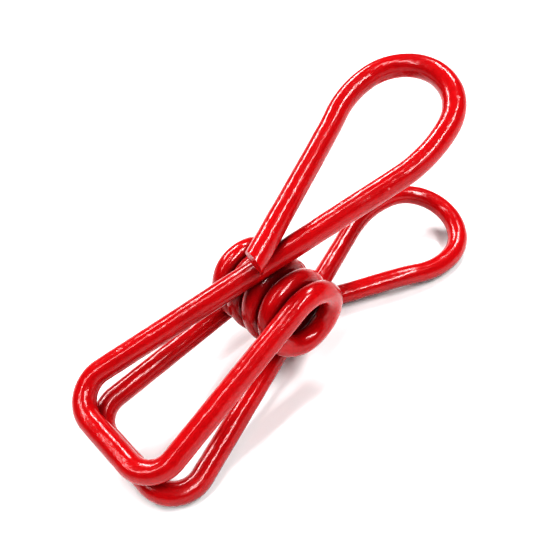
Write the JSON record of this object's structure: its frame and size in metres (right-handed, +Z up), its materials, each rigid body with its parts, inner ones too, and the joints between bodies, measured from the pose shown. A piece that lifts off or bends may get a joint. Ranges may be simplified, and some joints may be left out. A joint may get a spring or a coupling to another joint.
{
  "type": "clothespin",
  "caption": "Sprung wire clothespin: red vinyl-coated steel wire bent into two looped handles, a coil spring and crossed clamping jaws.",
  "frame": {"origin": "middle of the bounding box in plan, on the surface that the clip lies on", "axes": "+X from the coil towards the jaws, +Z up with the clip lying at rest on its lower arm"},
  "size_m": [0.0666, 0.02, 0.0336],
  "materials": {
    "vinyl": "glossy extruded red vinyl with fine draw marks",
    "spring_steel": "drawn spring steel wire"
  },
  "bodies": {
    "lower_arm": {"lower_wire": "spring_steel", "lower_coil_end_coating": "vinyl", "lower_leg_coating": "vinyl", "lower_jaw_coating": "vinyl", "lower_lever_coating": "vinyl", "lower_handle_coating": "vinyl", "lower_tail_coating": "vinyl"},
    "upper_arm": {"upper_wire": "spring_steel", "upper_coil_end_coating": "vinyl", "upper_leg_coating": "vinyl", "upper_jaw_coating": "vinyl", "upper_lever_coating": "vinyl", "upper_handle_coating": "vinyl", "upper_tail_coating": "vinyl"},
    "coil_turn_1": {"coil_wire_1": "spring_steel", "coil_coating_1": "vinyl"},
    "coil_turn_2": {"coil_wire_2": "spring_steel", "coil_coating_2": "vinyl"},
    "coil_turn_3": {"coil_wire_3": "spring_steel", "coil_coating_3": "vinyl"},
    "coil_turn_4": {"coil_wire_4": "spring_steel", "coil_coating_4": "vinyl"}
  },
  "joints": [
    {"name": "jaw_hinge", "type": "hinge", "parent": "lower_arm", "child": "upper_arm", "pos_m": [0.0042, -0.00065, 0.01147], "axis": [-0.0066, -0.9996, -0.0286], "range_deg": [0, 42], "stiffness_Nm_per_rad": 1.2, "springref_deg": -9.74},
    {"name": "coil_turn_1_twist", "type": "hinge", "parent": "lower_arm", "child": "coil_turn_1", "pos_m": [0.0042, -0.00065, 0.01147], "axis": [-0.0066, -0.9996, -0.0286], "range_deg": [0, 33.6]},
    {"name": "coil_turn_2_twist", "type": "hinge", "parent": "lower_arm", "child": "coil_turn_2", "pos_m": [0.0042, -0.00065, 0.01147], "axis": [-0.0066, -0.9996, -0.0286], "range_deg": [0, 25.2]},
    {"name": "coil_turn_3_twist", "type": "hinge", "parent": "lower_arm", "child": "coil_turn_3", "pos_m": [0.0042, -0.00065, 0.01147], "axis": [-0.0066, -0.9996, -0.0286], "range_deg": [0, 16.8]},
    {"name": "coil_turn_4_twist", "type": "hinge", "parent": "lower_arm", "child": "coil_turn_4", "pos_m": [0.0042, -0.00065, 0.01147], "axis": [-0.0066, -0.9996, -0.0286], "range_deg": [0, 8.4]}
  ],
  "couplings": [
    {"joint": "coil_turn_1_twist", "follows": "jaw_hinge", "ratio": 0.8},
    {"joint": "coil_turn_2_twist", "follows": "jaw_hinge", "ratio": 0.6},
    {"joint": "coil_turn_3_twist", "follows": "jaw_hinge", "ratio": 0.4},
    {"joint": "coil_turn_4_twist", "follows": "jaw_hinge", "ratio": 0.2}
  ]
}
